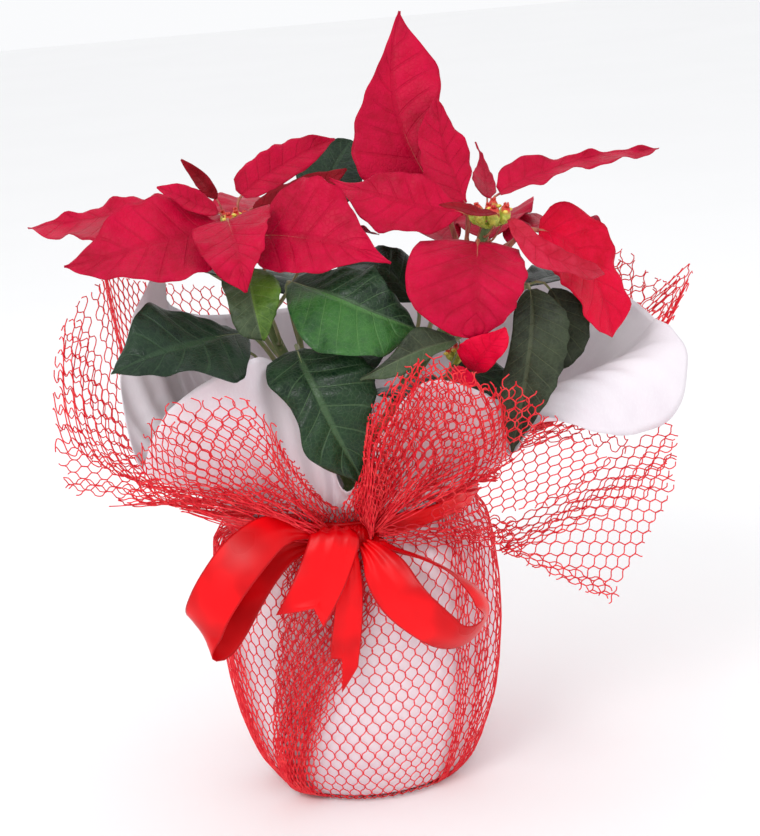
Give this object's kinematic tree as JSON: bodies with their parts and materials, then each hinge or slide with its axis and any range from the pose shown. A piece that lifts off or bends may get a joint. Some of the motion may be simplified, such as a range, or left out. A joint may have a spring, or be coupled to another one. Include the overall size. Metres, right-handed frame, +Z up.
{
  "type": "potted poinsettia",
  "caption": "Red poinsettia in a pot, wrapped in pale paper and red open-mesh net and tied at the neck with a red satin ribbon bow.",
  "frame": {"origin": "centre of the base, where the wrapped pot stands", "axes": "+Z up the plant; the front with the bow faces -Y"},
  "size_m": [0.3495, 0.243, 0.4093],
  "materials": {
    "bract_red": "soft satin, living bract with pressed-in veins",
    "leaf_green": "satin, living leaf with pale veins",
    "stem_green": "matte green stem",
    "cyathia_green": "satin yellow-green cups",
    "pot_plastic": "matte moulded plastic",
    "soil": "rough damp peat",
    "wrap_paper": "matte soft paper",
    "wrap_net": "matte open-mesh net",
    "ribbon_satin": "satin woven ribbon"
  },
  "bodies": {
    "root": {"bow_loop_left": "ribbon_satin", "bow_loop_right": "ribbon_satin", "bract_left_back": "bract_red", "bract_left_back_left": "bract_red", "bract_left_back_right": "bract_red", "bract_left_big": "bract_red", "bract_left_far": "bract_red", "bract_left_front_left": "bract_red", "bract_left_heart": "bract_red", "bract_left_inner": "bract_red", "bract_left_narrow": "bract_red", "bract_left_rising": "bract_red", "bract_left_thin": "bract_red", "bract_low_front": "bract_red", "bract_low_right": "bract_red", "bract_right_back": "bract_red", "bract_right_back_left": "bract_red", "bract_right_back_side": "bract_red", "bract_right_dark": "bract_red", "bract_right_folded": "bract_red", "bract_right_heart": "bract_red", "bract_right_inner": "bract_red", "bract_right_long": "bract_red", "bract_right_side": "bract_red", "bract_right_small": "bract_red", "bract_right_tall": "bract_red", "bract_right_tall_side": "bract_red", "cyathia_left": "cyathia_green", "cyathia_low": "cyathia_green", "cyathia_right": "cyathia_green", "leaf_back_left": "leaf_green", "leaf_back_middle": "leaf_green", "leaf_back_right": "leaf_green", "leaf_back_upper": "leaf_green", "leaf_centre": "leaf_green", "leaf_curled": "leaf_green", "leaf_front_hanging": "leaf_green", "leaf_front_left": "leaf_green", "leaf_front_small": "leaf_green", "leaf_inner_back": "leaf_green", "leaf_inner_front": "leaf_green", "leaf_inner_left": "leaf_green", "leaf_inner_middle": "leaf_green", "leaf_inner_right": "leaf_green", "leaf_right_hanging": "leaf_green", "leaf_right_inner": "leaf_green", "leaf_side_left": "leaf_green", "leaf_side_right": "leaf_green", "leaf_small_left": "leaf_green", "net_wrap": "wrap_net", "nursery_pot": "pot_plastic", "paper_wrap": "wrap_paper", "potting_soil": "soil", "ribbon_band": "ribbon_satin", "ribbon_knot": "ribbon_satin", "ribbon_tail_front": "ribbon_satin", "ribbon_tail_long": "ribbon_satin", "stem": "stem_green"}
  },
  "joints": []
}
